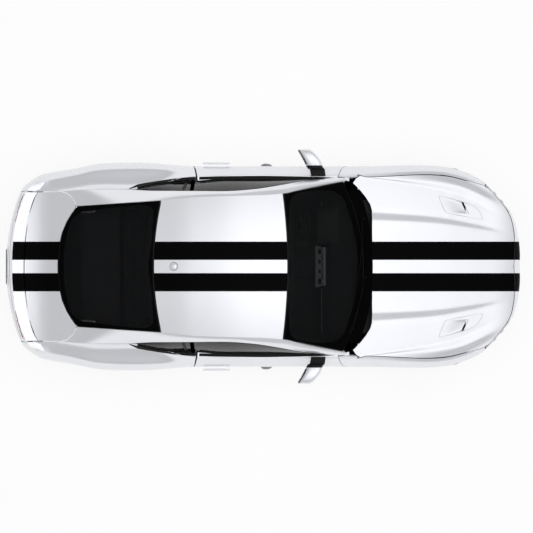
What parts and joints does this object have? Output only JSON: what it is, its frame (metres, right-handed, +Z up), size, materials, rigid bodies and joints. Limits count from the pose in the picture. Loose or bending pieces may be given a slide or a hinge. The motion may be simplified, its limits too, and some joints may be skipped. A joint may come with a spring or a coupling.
{
  "type": "muscle car",
  "caption": "Two-door muscle coupe with a long hood, hollow cabin, fastback rear window, opening doors, hood and trunk lid, steered front wheels and turning wheels.",
  "frame": {"origin": "on the ground under the middle of the overall box of the car", "axes": "+X forward, +Y to the car's left, +Z up"},
  "size_m": [4.7883, 2.076, 1.3809],
  "materials": {
    "body_paint": "gloss white with black stripes",
    "tinted_glass": "dark tinted, polished",
    "lamp_glass": "clear, polished",
    "lamp_red": "gloss",
    "black_plastic": "fine grain",
    "black_steel": "satin",
    "seat_fabric": "woven",
    "black_leather": "fine grain",
    "engine_alloy": "cast",
    "bare_iron": "machined",
    "exhaust_steel": "brushed",
    "wheel_alloy": "painted dark, satin",
    "tyre_rubber": "matt"
  },
  "bodies": {
    "body": {"front_fenders": "body_paint", "roof_panel": "body_paint", "cabin_rails": "body_paint", "quarter_panels": "body_paint", "rockers": "black_plastic", "front_bumper": "body_paint", "headlamps": "lamp_glass", "front_grilles": "black_plastic", "rear_bumper": "body_paint", "tail_lamps": "lamp_red", "windscreen": "tinted_glass", "rear_window": "tinted_glass", "quarter_glass": "tinted_glass", "wheel_liners": "black_plastic", "cabin_frame": "black_steel", "cowl_panel": "black_plastic", "floor_pan": "black_steel", "seats": "seat_fabric", "dashboard_and_console": "black_plastic", "window_frames": "black_plastic", "engine_block": "engine_alloy", "front_frame": "black_steel", "suspension_arms": "black_steel", "driveline": "bare_iron", "exhaust": "exhaust_steel"},
    "door_left_body": {"door_left": "body_paint", "door_left_glass": "tinted_glass", "mirror_left": "body_paint"},
    "knuckle_left_body": {"knuckle_left": "bare_iron"},
    "door_right_body": {"door_right": "body_paint", "door_right_glass": "tinted_glass", "mirror_right": "body_paint"},
    "knuckle_right_body": {"knuckle_right": "bare_iron"},
    "hood_body": {"hood": "body_paint"},
    "trunk_lid_body": {"trunk_lid": "body_paint", "rear_spoiler": "body_paint"},
    "steering_wheel_body": {"steering_wheel": "black_leather"},
    "wheel_front_left": {"rim_front_left": "wheel_alloy", "tyre_front_left": "tyre_rubber"},
    "wheel_front_right": {"rim_front_right": "wheel_alloy", "tyre_front_right": "tyre_rubber"},
    "wheel_rear_left": {"rim_rear_left": "wheel_alloy", "tyre_rear_left": "tyre_rubber"},
    "wheel_rear_right": {"rim_rear_right": "wheel_alloy", "tyre_rear_right": "tyre_rubber"}
  },
  "joints": [
    {"name": "door_left_hinge", "type": "hinge", "parent": "body", "child": "door_left_body", "pos_m": [0.812, 0.884, 0.6], "axis": [0, 0, 1], "range_deg": [-65, 0]},
    {"name": "door_right_hinge", "type": "hinge", "parent": "body", "child": "door_right_body", "pos_m": [0.812, -0.884, 0.6], "axis": [0, 0, 1], "range_deg": [0, 65]},
    {"name": "hood_hinge", "type": "hinge", "parent": "body", "child": "hood_body", "pos_m": [0.85, 0, 0.925], "axis": [0, 1, 0], "range_deg": [-40, 0]},
    {"name": "trunk_lid_hinge", "type": "hinge", "parent": "body", "child": "trunk_lid_body", "pos_m": [-1.5, 0, 1.06], "axis": [0, 1, 0], "range_deg": [0, 40]},
    {"name": "steer_left", "type": "hinge", "parent": "body", "child": "knuckle_left_body", "pos_m": [1.5195, 0.729, 0.3435], "axis": [0, 0, 1], "range_deg": [-33, 33]},
    {"name": "steer_right", "type": "hinge", "parent": "body", "child": "knuckle_right_body", "pos_m": [1.5195, -0.729, 0.3435], "axis": [0, 0, 1], "range_deg": [-33, 33]},
    {"name": "steering_wheel_turn", "type": "hinge", "parent": "body", "child": "steering_wheel_body", "pos_m": [0.33, 0.37, 0.8], "axis": [-0.9135, 0, 0.4067], "range_deg": [-500, 500]},
    {"name": "front_left_spin", "type": "hinge", "parent": "knuckle_left_body", "child": "wheel_front_left", "pos_m": [1.5195, 0.791, 0.3435], "axis": [0, 1, 0], "continuous": true},
    {"name": "front_right_spin", "type": "hinge", "parent": "knuckle_right_body", "child": "wheel_front_right", "pos_m": [1.5195, -0.791, 0.3435], "axis": [0, 1, 0], "continuous": true},
    {"name": "rear_left_spin", "type": "hinge", "parent": "body", "child": "wheel_rear_left", "pos_m": [-1.2005, 0.808, 0.3515], "axis": [0, 1, 0], "continuous": true},
    {"name": "rear_right_spin", "type": "hinge", "parent": "body", "child": "wheel_rear_right", "pos_m": [-1.2005, -0.808, 0.3515], "axis": [0, 1, 0], "continuous": true}
  ],
  "couplings": [
    {"joint": "steer_right", "follows": "steer_left", "ratio": 1},
    {"joint": "steering_wheel_turn", "follows": "steer_left", "ratio": 15}
  ]
}
